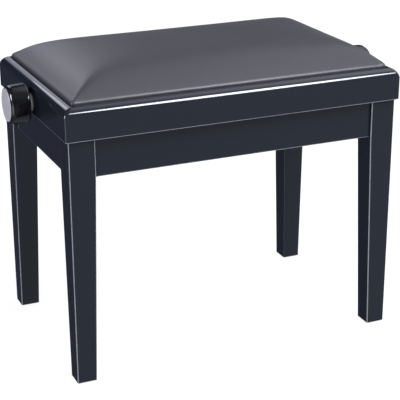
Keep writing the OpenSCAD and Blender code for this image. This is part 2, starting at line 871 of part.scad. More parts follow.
leg_front_left();
leg_front_right();
leg_rear_left();
leg_rear_right();
apron_front();
apron_rear();
apron_left();
apron_right();
corner_blocks();
apron_dowels();
leg_bolts();
leg_bolt_washers();
leg_bolt_nuts();
foot_glides();
lower_rail_front();
lower_rail_rear();
lower_rail_screws();
lower_pivot_shaft();
lower_pivot_spacers();
lower_pivot_clips();
arm_a_front();
arm_a_rear();
centre_pins();
upper_slide_shaft();
upper_slide_bushes();
upper_slide_clips();
arm_b_front();
arm_b_rear();
lower_slide_shaft();
lower_slide_bushes();
lower_slide_clips();
seat_rail_front();
seat_rail_rear();
seat_rail_left();
seat_rail_right();
frame_corner_blocks();
frame_block_screws();
seat_board();
seat_board_screws();
cushion_foam();
cushion_cover();
cover_staples();
upper_rail_front();
upper_rail_rear();
upper_rail_screws();
upper_pivot_shaft();
upper_pivot_spacers();
upper_pivot_clips();
spindle_bushes();
spindle_nut();
spindle();
thrust_collars();
collar_screws();
knob_left();
knob_right();
knob_cap_left();
knob_cap_right();
knob_nuts();
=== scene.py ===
"""Looks of a height-adjustable piano bench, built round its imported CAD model.

Metres, +Z up, the front faces -Y. The lacquered wood, cushion, knobs and spindle are new pieces that stand
for their CAD nodes; hardware and bare wood keep their CAD shapes and get eased edges and materials.
"""
import json
import math

import bmesh
import bpy
from mathutils import Matrix, Vector


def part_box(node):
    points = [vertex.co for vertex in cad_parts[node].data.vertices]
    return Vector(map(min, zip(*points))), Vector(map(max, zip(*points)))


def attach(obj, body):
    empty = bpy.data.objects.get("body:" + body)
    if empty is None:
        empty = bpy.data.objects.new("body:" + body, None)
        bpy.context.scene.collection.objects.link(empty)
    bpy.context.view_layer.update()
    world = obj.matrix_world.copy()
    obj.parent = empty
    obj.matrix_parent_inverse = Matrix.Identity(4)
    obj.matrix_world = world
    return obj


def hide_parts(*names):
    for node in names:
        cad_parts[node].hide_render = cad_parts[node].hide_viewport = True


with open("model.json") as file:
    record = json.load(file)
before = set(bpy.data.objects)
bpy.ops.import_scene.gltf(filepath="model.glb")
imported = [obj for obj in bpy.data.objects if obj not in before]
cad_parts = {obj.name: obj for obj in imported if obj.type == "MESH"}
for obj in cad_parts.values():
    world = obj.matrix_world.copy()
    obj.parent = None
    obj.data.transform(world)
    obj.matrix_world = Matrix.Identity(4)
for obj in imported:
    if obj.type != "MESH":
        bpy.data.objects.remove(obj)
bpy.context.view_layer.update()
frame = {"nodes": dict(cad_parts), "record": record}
NODES = frame["nodes"]
BODY_OF = {node: body for body, nodes in frame["record"]["behaviour"]["bodies"].items() for node in nodes}
SLOT_OF = {part["node"]: part["material_slot"] for part in frame["record"]["subparts"]}
MM = 0.001

# ---------------------------------------------------------------- meshes


def add_object(name, mesh):
    piece = bpy.data.objects.new(name, mesh)
    bpy.context.scene.collection.objects.link(piece)
    return piece


def to_object(name, bm, weld=1e-6):
    """A new smooth-shaded object from a bmesh, with its doubles merged and its faces turned outwards."""
    bmesh.ops.remove_doubles(bm, verts=bm.verts, dist=weld)
    bmesh.ops.dissolve_degenerate(bm, edges=bm.edges, dist=weld)
    bmesh.ops.recalc_face_normals(bm, faces=bm.faces)
    for face in bm.faces:
        face.smooth = True
    mesh = bpy.data.meshes.new(name)
    bm.to_mesh(mesh)
    bm.free()
    return add_object(name, mesh)


def loft(rings, closed=True, caps=True):
    """A bmesh through rings of points. A closed ring's last point joins its first; caps fill both ends."""
    bm = bmesh.new()
    rows = [[bm.verts.new(p) for p in ring] for ring in rings]
    for low, high in zip(rows, rows[1:]):
        count = len(low)
        for i in range(count if closed else count - 1):
            j = (i + 1) % count
            bm.faces.new((low[i], low[j], high[j], high[i]))
    if caps:
        for cap in (bm.faces.new(list(reversed(rows[0]))), bm.faces.new(rows[-1])):
            for edge in cap.edges:
                edge.smooth = False
    return bm


def lathe(outline, centre, steps=96):
    """A bmesh turned round an axis along X through centre, from a closed outline of (x, radius)."""
    rings = []
    for k in range(steps):
        turn = 2 * math.pi * k / steps
        rings.append([(x, centre.y + r * math.cos(turn), centre.z + r * math.sin(turn)) for x, r in outline])
    return loft(rings + rings[:1], caps=False)


def arc(centre, radius, start, end, steps):
    """Points on a circle in a plane, from angle start to angle end in degrees."""
    angles = [math.radians(start + (end - start) * k / steps) for k in range(steps + 1)]
    return [(centre[0] + radius * math.cos(a), centre[1] + radius * math.sin(a)) for a in angles]


def ease_edges(bm, width, along=None, steps=4):
    """Rounds a coarse shape's square edges, or only those along one axis; the new faces are its arris."""
    arris = bm.faces.layers.float.new("arris")
    bmesh.ops.recalc_face_normals(bm, faces=bm.faces)
    square = [e for e in bm.edges if e.calc_face_angle(0) > math.radians(60)]
    if along is not None:
        square = [e for e in square if abs((e.verts[0].co - e.verts[1].co).normalized()[along]) > 0.9]
    made = bmesh.ops.bevel(bm, geom=square, offset=width, segments=steps, profile=0.5, affect="EDGES")
    for face in made["faces"]:
        face[arris] = 1.0


def box_bmesh(low, high):
    """A coarse block between two corners, for ease_edges."""
    def ring(z):
        return [(low.x, low.y, z), (high.x, low.y, z), (high.x, high.y, z), (low.x, high.y, z)]
    return loft([ring(low.z), ring(high.z)])


def keep_flats_flat(piece):
    """Large faces keep their own normals, so only the eased edges shade round."""
    modifier = piece.modifiers.new("flats", "WEIGHTED_NORMAL")
    modifier.keep_sharp = True
    modifier.weight = 100


def split_corners(piece, degrees=45):
    """Marks the edges sharper than an angle, so that they shade crisp."""
    bm = bmesh.new()
    bm.from_mesh(piece.data)
    for edge in bm.edges:
        if edge.calc_face_angle(0) > math.radians(degrees):
            edge.smooth = False
    bm.to_mesh(piece.data)
    bm.free()


def drill(piece, centre, radius, reach):
    """Bores a round hole along X through a piece."""
    bm = lathe([(centre.x - reach, 0), (centre.x - reach, radius), (centre.x + reach, radius),
                (centre.x + reach, 0)], centre, 64)
    cutter = to_object("cutter", bm)
    hole = piece.modifiers.new("hole", "BOOLEAN")
    hole.object = cutter
    hole.solver = "EXACT"
    applied(piece)
    bpy.data.objects.remove(cutter)
    split_corners(piece)


def applied(piece):
    """The piece with its modifiers made permanent."""
    graph = bpy.context.evaluated_depsgraph_get()
    evaluated = piece.evaluated_get(graph)
    mesh = bpy.data.meshes.new_from_object(evaluated, preserve_all_data_layers=True, depsgraph=graph)
    piece.modifiers.clear()
    piece.data = mesh
    return piece


def place(piece, material, *nodes):
    """Makes a new piece stand for CAD nodes: on their body, in their place."""
    piece.data.materials.clear()
    piece.data.materials.append(MATERIALS[material])
    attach(piece, BODY_OF[nodes[0]])
    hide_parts(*nodes)
    return piece


# ---------------------------------------------------------------- materials


class Tree:
    """Short calls for a material's nodes. An input takes a number, a colour, a vector or an output."""

    def __init__(self, name):
        self.material = bpy.data.materials.new(name)
        self.material.use_nodes = True
        self.nodes = self.material.node_tree.nodes
        self.links = self.material.node_tree.links
        self.shader = self.nodes["Principled BSDF"]
        self.place = self.node("ShaderNodeTexCoord").outputs["Object"]

    def node(self, kind, inputs=None, **settings):
        made = self.nodes.new(kind)
        for key, value in settings.items():
            setattr(made, key, value)
        for key, value in (inputs or {}).items():
            self.put(made.inputs[key], value)
        return made

    def put(self, socket, value):
        if isinstance(value, bpy.types.NodeSocket):
            self.links.new(value, socket)
        else:
            socket.default_value = value

    def set(self, **values):
        """Sets the shader's sockets; Base_Color stands for "Base Color"."""
        for key, value in values.items():
            self.put(self.shader.inputs[key.replace("_", " ")], value)
        return self.material

    def scaled(self, x, y, z, turn=(0, 0, 0)):
        mapping = self.node("ShaderNodeMapping", {"Vector": self.place, "Scale": (x, y, z), "Rotation": turn})
        return mapping.outputs["Vector"]

    def noise(self, scale, detail=2.0, vector=None, distortion=0.0):
        inputs = {"Scale": scale, "Detail": detail, "Distortion": distortion, "Vector": vector or self.place}
        return self.node("ShaderNodeTexNoise", inputs).outputs["Fac"]

    def cells(self, scale, vector=None, feature="F1"):
        inputs = {"Scale": scale, "Vector": vector or self.place}
        return self.node("ShaderNodeTexVoronoi", inputs, feature=feature).outputs["Distance"]

    def range(self, value, low, high, to_low=0.0, to_high=1.0):
        inputs = {"Value": value, "From Min": low, "From Max": high, "To Min": to_low, "To Max": to_high}
        return self.node("ShaderNodeMapRange", inputs).outputs["Result"]

    def math(self, kind, a, b=0.0):
        return self.node("ShaderNodeMath", {0: a, 1: b}, operation=kind).outputs["Value"]

    def mix(self, factor, a, b):
        """A colour between a and b."""
        made = self.node("ShaderNodeMix", data_type="RGBA")
        for name, value in (("Factor", factor), ("A", a), ("B", b)):
            socket = [s for s in made.inputs if s.name == name and s.enabled][0]
            self.put(socket, value)
        return [s for s in made.outputs if s.enabled][0]

    def bump(self, height, depth, strength=1.0, under=None):
        """A normal from a height from 0 to 1 that stands for depth metres."""
        inputs = {"Height": height, "Distance": depth, "Strength": strength}
        if under is not None:
            inputs["Normal"] = under
        return self.node("ShaderNodeBump", inputs).outputs["Normal"]

    def arris(self):
        """1 along the eased edges of a lacquered piece, 0 on its faces: where the lacquer paints its
        highlight.
        """
        return self.node("ShaderNodeAttribute", attribute_name="arris").outputs["Fac"]


def rgb(r, g, b):
    return (r, g, b, 1.0)


def lacquer():
    """Black gloss lacquer: faint orange peel, fine hairlines, and a painted light grey highlight along the
    eased edges, which are also duller.
    """
    t = Tree("black_lacquer")
    # Painted highlight: the arris mask turns the eased edges light grey, and also makes them rougher.
    edge = t.math("MULTIPLY", t.arris(), t.range(t.noise(260, 3), 0.3, 0.7, 0.75, 1.0))
    cloud = t.noise(9, 2)
    body = t.mix(cloud, rgb(0.0118, 0.0152, 0.0245), rgb(0.0132, 0.0168, 0.0265))
    hairlines = t.range(t.noise(40, 8, t.scaled(1, 14, 14)), 0.45, 0.75)
    peel = t.bump(t.noise(150, 1.5), 0.00002, 0.5)
    return t.set(
        # The body colour, painted light grey along the eased edges as a highlight.
        Base_Color=t.mix(edge, body, rgb(0.29, 0.305, 0.345)),
        Roughness=t.math("ADD", t.range(hairlines, 0, 1, 0.30, 0.36), t.math("MULTIPLY", edge, 0.1)),
        Normal=peel,
        Specular_IOR_Level=0.03,
        Coat_Weight=1.0,
        Coat_Roughness=0.045,
        Coat_IOR=1.55,
        Coat_Normal=peel,
    )


def leatherette():
    """Satin artificial leather: fine pebble grain with pores, painted shade in the hollows between the
    pebbles, and a slow change of tone.
    """
    t = Tree("leatherette")
    pebbles = t.range(t.cells(1150, feature="SMOOTH_F1"), 0.0, 0.75, 1.0, 0.0)
    folds = t.noise(420, 4, distortion=0.6)
    pores = t.range(t.noise(2600, 2), 0.60, 0.72)
    height = t.math("SUBTRACT", t.math("ADD", t.math("MULTIPLY", pebbles, 0.6), folds), pores)
    tone = t.noise(7, 3)
    # Painted shade: the low ground between the pebbles is darkened.
    valley_shade = t.math("MULTIPLY", t.range(pebbles, 0.0, 0.6, 1.0, 0.0), 0.5)
    colour = t.mix(tone, rgb(0.040, 0.039, 0.0465), rgb(0.051, 0.0495, 0.058))
    return t.set(
        Base_Color=t.mix(valley_shade, colour, rgb(0.018, 0.018, 0.023)),
        Roughness=t.range(t.math("ADD", folds, t.math("MULTIPLY", tone, 0.4)), 0.3, 1.1, 0.34, 0.41),
        Normal=t.bump(height, 0.00006, 0.55),
        Specular_IOR_Level=0.38,
        Sheen_Weight=0.08,
        Sheen_Roughness=0.5,
        Sheen_Tint=rgb(0.9, 0.92, 1.0),
    )


def sawn_beech(name, light, dark, along):
    """Bare beech with its grain along an axis: growth bands, short dark flecks and a sawn surface."""
    t = Tree(name)
    squeeze = [9.0, 9.0, 9.0]
    squeeze["XYZ".index(along)] = 0.8
    grain = t.scaled(*squeeze)
    bands = t.noise(9, 4, grain, 1.2)
    fleck_scale = [900.0, 900.0, 900.0]
    fleck_scale["XYZ".index(along)] = 120.0
    flecks = t.range(t.noise(1, 1, t.scaled(*fleck_scale)), 0.64, 0.72)
    fibres = t.noise(60, 3, grain)
    colour = t.mix(t.range(bands, 0.3, 0.7), light, dark)
    return t.set(
        Base_Color=t.mix(t.math("MULTIPLY", flecks, 0.55), colour, rgb(0.13, 0.06, 0.025)),
        Roughness=t.range(fibres, 0.2, 0.8, 0.55, 0.75),
        Normal=t.bump(t.math("ADD", fibres, bands), 0.00012, 0.5),
    )


def plywood():
    """Birch plywood: face veneer with long grain, and plies that show as bands on the edges."""
    t = Tree("plywood")
    normal = t.node("ShaderNodeNewGeometry").outputs["Normal"]
    upright = t.node("ShaderNodeSeparateXYZ", {0: normal}).outputs["Z"]
    on_edge = t.range(t.math("ABSOLUTE", upright), 0.3, 0.7, 1.0, 0.0)
    height = t.node("ShaderNodeSeparateXYZ", {0: t.place}).outputs["Z"]
    ply_pair = 2.8 * MM
    ply = t.math("FRACT", t.math("DIVIDE", height, ply_pair))
    plies = t.range(ply, 0.46, 0.54)
    bands = t.noise(8, 4, t.scaled(0.7, 8, 8), 1.5)
    veneer = t.mix(t.range(bands, 0.25, 0.75), rgb(0.56, 0.41, 0.24), rgb(0.40, 0.26, 0.13))
    end_grain = t.noise(900, 2)
    edge = t.mix(plies, rgb(0.50, 0.35, 0.19), rgb(0.22, 0.12, 0.055))
    edge = t.mix(t.math("MULTIPLY", end_grain, 0.4), edge, rgb(0.16, 0.09, 0.04))
    return t.set(
        Base_Color=t.mix(on_edge, veneer, edge),
        Roughness=t.range(bands, 0.2, 0.8, 0.6, 0.75),
        Normal=t.bump(t.math("ADD", bands, end_grain), 0.0001, 0.35),
    )


def foam():
    """Open-cell foam, with painted shade in its cell hollows."""
    t = Tree("foam")
    cells = t.cells(700)
    # Painted shade: darker where the cells' bump is lowest, in the pores.
    tone = t.mix(t.range(cells, 0.1, 0.6), rgb(0.50, 0.42, 0.24), rgb(0.80, 0.72, 0.50))
    return t.set(Base_Color=tone, Roughness=0.95, Normal=t.bump(cells, 0.0008, 0.8))


def zinc():
    """Bright zinc plating: bluish, with drawn lines, faint spangle and dull patches."""
    t = Tree("zinc_steel")
    patches = t.noise(55, 4)
    spangle = t.cells(420)
    tone = t.mix(t.range(patches, 0.3, 0.7), rgb(0.56, 0.57, 0.60), rgb(0.42, 0.43, 0.45))
    return t.set(
        Base_Color=t.mix(t.math("MULTIPLY", spangle, 0.25), tone, rgb(0.66, 0.65, 0.60)),
        Metallic=1.0,
        Roughness=t.range(patches, 0.25, 0.75, 0.24, 0.42),
        Normal=t.bump(t.noise(900, 3), 0.00001, 0.5),
    )


def spring_steel():
    """Blackened spring steel with an oily film."""
    t = Tree("spring_steel")
    film = t.noise(160, 3)
    return t.set(
        Base_Color=t.mix(film, rgb(0.045, 0.046, 0.052), rgb(0.10, 0.095, 0.085)),
        Metallic=1.0,
        Roughness=t.range(film, 0.3, 0.7, 0.28, 0.45),
        Normal=t.bump(t.noise(1500, 2), 0.000008, 0.6),
    )


def black_steel():
    """Powder-coated steel: satin black with a fine texture, and bare metal rubbed through in patches."""
    t = Tree("black_steel")
    texture = t.noise(1300, 3)
    rub = t.noise(70, 5)
    bare = t.range(rub, 0.70, 0.76)
    return t.set(
        Base_Color=t.mix(bare, rgb(0.022, 0.022, 0.024), rgb(0.16, 0.16, 0.165)),
        Roughness=t.range(rub, 0.3, 0.7, 0.36, 0.50),
        Metallic=t.math("MULTIPLY", bare, 0.7),
        Normal=t.bump(texture, 0.00004, 0.5),
        Coat_Weight=0.25,
        Coat_Roughness=0.25,
    )


def nylon():
    """Natural nylon: milky, slightly waxy, with turning marks."""
    t = Tree("nylon")
    marks = t.noise(600, 2)
    tone = t.noise(30, 2)
    return t.set(
        Base_Color=t.mix(tone, rgb(0.70, 0.67, 0.58), rgb(0.78, 0.76, 0.69)),
        Roughness=t.range(marks, 0.3, 0.7, 0.42, 0.55),
        Subsurface_Weight=0.15,
        Subsurface_Scale=0.002,
        Normal=t.bump(marks, 0.00002, 0.5),
    )


def glide_plastic():
    """Hard black plastic, scuffed underneath."""
    t = Tree("glide_plastic")
    scuff = t.range(t.noise(220, 6, t.scaled(1, 3, 1)), 0.52, 0.68)
    return t.set(
        Base_Color=t.mix(scuff, rgb(0.035, 0.035, 0.037), rgb(0.10, 0.10, 0.10)),
        Roughness=t.range(scuff, 0, 1, 0.45, 0.7),
        Normal=t.bump(scuff, 0.00003, 0.4),
    )


def brass():
    """Machined brass: milling lines and slight tarnish."""
    t = Tree("brass")
    lines = t.noise(60, 3, t.scaled(60, 1, 1))
    tarnish = t.noise(90, 4)
    return t.set(
        Base_Color=t.mix(t.range(tarnish, 0.35, 0.75), rgb(0.74, 0.55, 0.24), rgb(0.46, 0.31, 0.12)),
        Metallic=1.0,
        Roughness=t.range(tarnish, 0.3, 0.7, 0.22, 0.4),
        Normal=t.bump(lines, 0.00002, 0.5),
    )


def knob_plastic():
    """Moulded black plastic, glossy, with faint flow lines and dust-fine scratches."""
    t = Tree("knob_plastic")
    flow = t.noise(60, 3, distortion=1.5)
    scratches = t.range(t.noise(300, 8, t.scaled(1, 9, 2)), 0.55, 0.75)
    return t.set(
        Base_Color=t.mix(flow, rgb(0.0035, 0.0035, 0.0050), rgb(0.0060, 0.0060, 0.0080)),
        Roughness=t.range(scratches, 0, 1, 0.03, 0.07),
        Specular_IOR_Level=0.5,
        Normal=t.bump(t.noise(240, 2), 0.00001, 0.4),
    )


def cap_silver():
    """Satin silver cap, spun: fine rings round the knob's axis."""
    t = Tree("cap_silver")
    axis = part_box("spindle")
    centre_z = (axis[0].z + axis[1].z) / 2
    ring_gap = 0.35 * MM
    flattened = {"Vector": t.place, "Location": (0, 0, -centre_z), "Scale": (0, 1, 1)}
    across = t.node("ShaderNodeMapping", flattened).outputs["Vector"]
    radius = t.node("ShaderNodeVectorMath", {0: across}, operation="LENGTH").outputs["Value"]
    rings = t.math("SINE", t.math("MULTIPLY", radius, 2 * math.pi / ring_gap))
    drift = t.noise(500, 3)
    tone = t.mix(t.noise(60, 3), rgb(0.68, 0.665, 0.745), rgb(0.77, 0.755, 0.84))
    return t.set(
        Base_Color=tone,
        Metallic=0.3,
        Roughness=t.range(drift, 0.3, 0.7, 0.34, 0.42),
        Normal=t.bump(t.math("ADD", rings, drift), 0.000012, 0.6),
    )


MATERIALS = {
    "black_lacquer": lacquer(),
    "bare_wood": sawn_beech("bare_wood", rgb(0.50, 0.33, 0.18), rgb(0.38, 0.22, 0.11), "Z"),
    "dowel_wood": sawn_beech("dowel_wood", rgb(0.60, 0.43, 0.26), rgb(0.46, 0.30, 0.16), "X"),
    "zinc_steel": zinc(),
    "spring_steel": spring_steel(),
    "black_steel": black_steel(),
    "nylon": nylon(),
    "glide_plastic": glide_plastic(),
    "plywood": plywood(),
    "foam": foam(),
    "leatherette": leatherette(),
    "brass": brass(),
    "knob_plastic": knob_plastic(),
    "cap_silver": cap_silver(),
}

# ---------------------------------------------------------------- measures, from the frame

SIDES = (("left", -1), ("right", 1))
DEPTHS = (("front", -1), ("rear", 1))
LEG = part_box("leg_rear_right")
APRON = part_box("apron_rear")
SIDE_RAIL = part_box("seat_rail_right")
LONG_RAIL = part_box("seat_rail_rear")
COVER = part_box("cushion_cover")
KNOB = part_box("knob_right")
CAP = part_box("knob_cap_right")
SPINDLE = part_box("spindle")
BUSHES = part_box("spindle_bushes")
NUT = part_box("spindle_nut")
HALF_L = SIDE_RAIL[1].x
HALF_D = LONG_RAIL[1].y
FRAME_LOW = SIDE_RAIL[0].z
FRAME_TOP = SIDE_RAIL[1].z
RAIL_T = SIDE_RAIL[1].x - SIDE_RAIL[0].x
LEDGE_Z = COVER[0].z
ROUND_R = 14 * MM      # rounded top edge of the seat frame
EASE = 1.3 * MM        # arris of the lacquered wood
CUSHION_GAP = 1 * MM   # between cushion and frame


def mirrored(piece, x, y=1):
    """Mirrors a piece that was drawn for the right rear."""
    piece.data.transform(Matrix.Diagonal((x, y, 1, 1)))
    if x * y < 0:
        piece.data.flip_normals()
    return piece


# ---------------------------------------------------------------- lacquered wood


def leg():
    """The right rear leg: upright outside, tapered inside below the aprons, a flat for its corner block."""
    low, high = LEG
    foot = [v.co for v in NODES["leg_rear_right"].data.vertices if v.co.z < low.z + MM]
    foot_x = min(co.x for co in foot)
    foot_y = min(co.y for co in foot)
    corner, flat, run_out, margin = 1 * MM, 8 * MM, 2 * MM, 4 * MM
    flat_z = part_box("corner_blocks")[0].z - margin
    rows = [
        (low.z, foot_x, foot_y, corner),
        (APRON[0].z, low.x, low.y, corner),
        (flat_z - run_out, low.x, low.y, corner),
        (flat_z, low.x, low.y, flat),
        (high.z, low.x, low.y, flat),
    ]
    rings = [[(x, y + cut, z), (x + cut, y, z), (high.x, y, z), (high.x, high.y, z), (x, high.y, z)]
             for z, x, y, cut in rows]
    bm = loft(rings)
    ease_edges(bm, EASE)
    return to_object("leg", bm)


def build_legs():
    for depth, y in DEPTHS:
        for side, x in SIDES:
            node = f"leg_{depth}_{side}"
            piece = mirrored(leg(), x, y)
            piece.name = f"{node}_wood"
            place(piece, "black_lacquer", node)
            keep_flats_flat(piece)


def build_aprons():
    """Four boards with eased long edges, butted against the legs."""
    for node, along in (("apron_front", 0), ("apron_rear", 0), ("apron_left", 1), ("apron_right", 1)):
        bm = box_bmesh(*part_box(node))
        ease_edges(bm, EASE, along)
        piece = place(to_object(f"{node}_wood", bm), "black_lacquer", node)
        keep_flats_flat(piece)


def rail_outline():
    """Section of a seat rail as (inset from the outer face, height, plan radius at the corner)."""
    rim = HALF_D - COVER[1].y - CUSHION_GAP
    fine, corner, corner_swell = 0.6 * MM, 2 * MM, 4 * MM
    points = [(EASE - x, FRAME_LOW + EASE + y, corner) for x, y in arc((0, 0), EASE, -90, 0, 4)]
    steps = 24
    for k in range(steps + 1):
        turn = math.radians(90 * k / steps)
        inset = ROUND_R * (1 - math.cos(turn))
        height = FRAME_TOP - ROUND_R * (1 - math.sin(turn))
        points.append((inset, height, corner + corner_swell * math.sin(2 * turn)))
    points += [(rim - fine - x, FRAME_TOP - fine + y, fine) for x, y in arc((0, 0), fine, 90, 180, 3)]
    inside = [(rim, LEDGE_Z), (RAIL_T - fine, LEDGE_Z), (RAIL_T, LEDGE_Z - fine),
              (RAIL_T, FRAME_LOW + fine), (RAIL_T - fine, FRAME_LOW)]
    return points + [(inset, height, fine) for inset, height in inside]


def seat_rail(half_run, half_out):
    """A mitred rail along X on the far side, half_run long each way, with its outer face at y = half_out."""
    outline = rail_outline()
    steps = 8
    turns = [45 + 45 * k / steps for k in range(steps + 1)]

    def ring(side, degrees):
        points = []
        a = math.radians(degrees)
        for inset, z, radius in outline:
            x = half_run - inset - radius + radius * math.cos(a)
            y = half_out - inset - radius + radius * math.sin(a)
            points.append((side * x, y, z))
        return points

    rings = [ring(-1, d) for d in turns] + [ring(1, d) for d in reversed(turns)]
    bm = loft(rings)
    # Only the lower outer arris is marked: the lacquer paints its light grey highlight there.
    arris = bm.faces.layers.float.new("arris")
    arris_top = FRAME_LOW + EASE * 1.01
    for face in bm.faces:
        outside = min(abs(v.co.y) for v in face.verts) > half_out - 2 * EASE
        below = max(v.co.z for v in face.verts) < arris_top
        face[arris] = 1.0 if outside and below and len(face.verts) == 4 else 0.0
    return bm


def build_seat_rails():
    flange = 4 * MM
    bush_r = (BUSHES[1].z - BUSHES[0].z) / 2 - flange
    axis_z = (SPINDLE[0].z + SPINDLE[1].z) / 2
    for depth, y in DEPTHS:
        node = f"seat_rail_{depth}"
        piece = mirrored(to_object(f"{node}_wood", seat_rail(HALF_L, HALF_D)), 1, y)
        place(piece, "black_lacquer", node)
        keep_flats_flat(piece)
    for side, x in SIDES:
        node = f"seat_rail_{side}"
        piece = to_object(f"{node}_wood", seat_rail(HALF_D, HALF_L))
        piece.data.transform(Matrix.Rotation(-math.pi / 2, 4, "Z"))
        mirrored(piece, x)
        drill(piece, Vector((x * HALF_L, 0, axis_z)), bush_r, 2 * RAIL_T)
        place(piece, "black_lacquer", node)
        keep_flats_flat(piece)


build_legs()
build_aprons()
build_seat_rails()

# ---------------------------------------------------------------- cushion

PAD_X, PAD_Y = COVER[1].x, COVER[1].y      # half the cushion's length and depth
EDGE_Z = FRAME_TOP + 5 * MM
CROWN_Z = COVER[1].z + 3.6 * MM
LEFT_SLOPE = (34 * MM, 1.35)       # run and fullness of the crown's rise from each edge
RIGHT_SLOPE = (27 * MM, 1.25)
SIDE_SLOPE = (30 * MM, 1.25)


def puff(inward, run, fullness):
    """How far the crown has risen, from 0 to 1, at a distance in from the cushion's edge."""
    return 1 - math.exp(-((max(inward, 0) / run) ** fullness))


def shoulder(inward, radius):
    """How far the rounded rim lies below the crown's line, at a distance in from the edge."""
    left = max(1 - inward / radius, 0)
    return radius * (1 - math.sqrt(1 - left * left))


def both(a, b, sharpness=6):
    """The lower of two rises, with the ridge between them rounded off."""
    a, b = max(a, 1e-4), max(b, 1e-4)
    return (a ** -sharpness + b ** -sharpness - 1) ** (-1 / sharpness)


def crown_height(x, y):
    """Height of the cover over a point of its plan."""
    rim_r = 3.5 * MM
    in_x, in_y = PAD_X - abs(x), PAD_Y - abs(y)
    end_slope = LEFT_SLOPE if x < 0 else RIGHT_SLOPE
    rise = both(puff(in_x, *end_slope), puff(in_y, *SIDE_SLOPE))
    return EDGE_Z + (CROWN_Z - EDGE_Z) * rise - shoulder(min(in_x, in_y), rim_r)


def round_corner(x, y, radius=5 * MM):
    """Moves a grid point that lies outside the cushion's rounded corner back onto it."""
    over_x, over_y = abs(x) - (PAD_X - radius), abs(y) - (PAD_Y - radius)
    if over_x > 0 and over_y > 0:
        reach = max(over_x, over_y) / math.hypot(over_x, over_y)
        x = math.copysign(PAD_X - radius + over_x * reach, x)
        y = math.copysign(PAD_Y - radius + over_y * reach, y)
    return x, y


def grid_lines(half):
    """Grid lines from edge to edge, close together round the rim."""
    cell, rim = 5.5 * MM, 10 * MM
    steps = [0, 0.3 * MM, 1.0 * MM, 2.1 * MM, 3.7 * MM, 6.2 * MM]
    inner = half - rim
    count = 2 * round(inner / cell)
    middle = [inner * (2 * k / count - 1) for k in range(count + 1)]
    return [step - half for step in steps] + middle + [half - step for step in reversed(steps)]


def cushion_shape():
    """The cover as a grid drawn over the crown, its edge turned down beside the board and in under it."""
    bm = bmesh.new()
    rows = [[bm.verts.new(round_corner(x, y) + (crown_height(x, y),)) for x in grid_lines(PAD_X)]
            for y in grid_lines(PAD_Y)]
    for low, high in zip(rows, rows[1:]):
        for i in range(len(low) - 1):
            bm.faces.new((low[i], low[i + 1], high[i + 1], high[i]))
    rim = rows[0] + [row[-1] for row in rows[1:]] + rows[-1][-2::-1] + [row[0] for row in rows[-2:0:-1]]
    wrap(bm, rim)
    return bm


def wrap(bm, rim):
    """Carries the cover from its rim down to the ledge and in under the board."""
    bottom = LEDGE_Z + 0.2 * MM
    levels = [(0, 0.2), (0, 0.5), (0, 0.9), (0, 1), (2 * MM, 1), (12 * MM, 1), (22 * MM, 1)]
    previous = rim
    for inward, drop in levels:
        scale_x, scale_y = 1 - inward / PAD_X, 1 - inward / PAD_Y
        ring = []
        for vert in rim:
            x, y, z = vert.co
            ring.append(bm.verts.new((x * scale_x, y * scale_y, z + (bottom - z) * drop)))
        for i in range(len(rim)):
            j = (i + 1) % len(rim)
            bm.faces.new((previous[i], ring[i], ring[j], previous[j]))
        previous = ring


def hump(distance, width):
    """A smooth hump: 1 at no distance, near 0 from twice its width."""
    return math.exp(-((distance / width) ** 2))


def crease_corners(piece):
    """Presses a soft fold into each corner, where the cover is gathered under the board."""
    rise, ridge_width = 1.0 * MM, 3.2 * MM
    dip, dip_place, dip_width = 0.55, 8 * MM, 5 * MM
    fold_start, fold_run = 9 * MM, 46 * MM
    for vert in piece.data.vertices:
        if vert.co.z < EDGE_Z - MM:
            continue
        in_x, in_y = PAD_X - abs(vert.co.x), PAD_Y - abs(vert.co.y)
        inward = (in_x + in_y) / math.sqrt(2)
        aside = abs(in_x - in_y) / math.sqrt(2)
        strength = hump(inward, fold_run) * (1 - hump(inward, fold_start))
        fold = hump(aside, ridge_width) - dip * hump(aside - dip_place, dip_width)
        vert.co.z += rise * strength * fold


def inflate(piece):
    """Blows the cover up as cloth from a slightly flatter start, its lower edge held.

    No point ends farther from where it was drawn than the cap allows.
    """
    frames, flatter, cap = 20, 0.985, 3 * MM
    rest = [v.co.copy() for v in piece.data.vertices]
    low = EDGE_Z + 1.5 * MM
    held = piece.vertex_groups.new(name="held")
    held.add([i for i, co in enumerate(rest) if co.z < low], 1.0, "REPLACE")
    for vert in piece.data.vertices:
        if vert.co.z > low:
            vert.co.z = low + (vert.co.z - low) * flatter
    cloth = piece.modifiers.new("cloth", "CLOTH")
    settings = cloth.settings
    settings.quality = 6
    settings.mass = 0.4
    settings.tension_stiffness = 30
    settings.compression_stiffness = 30
    settings.shear_stiffness = 12
    settings.bending_stiffness = 20
    settings.use_pressure = True
    settings.uniform_pressure_force = 6
    settings.effector_weights.gravity = 0
    settings.vertex_group_mass = "held"
    cloth.collision_settings.use_collision = False
    scene = bpy.context.scene
    for number in range(1, frames + 1):
        scene.frame_set(number)
    applied(piece)
    steps = [vert.co - co for vert, co in zip(piece.data.vertices, rest)]
    steps = [step * min(1, cap / max(step.length, 1e-9)) for step in steps]
    steps = [Vector() if co.z < low else step for step, co in zip(steps, rest)]
    for vert, co, step in zip(piece.data.vertices, rest, relaxed(piece, steps, 4)):
        vert.co = co + step
    scene.frame_set(1)


def relaxed(piece, steps, passes):
    """Averages each point's move with its neighbours', which leaves folds but no kinks."""
    near = [[] for _ in steps]
    for edge in piece.data.edges:
        a, b = edge.vertices
        near[a].append(b)
        near[b].append(a)
    for _ in range(passes):
        steps = [(steps[i] + sum((steps[j] for j in near[i]), Vector())) / (1 + len(near[i]))
                 for i in range(len(steps))]
    return steps


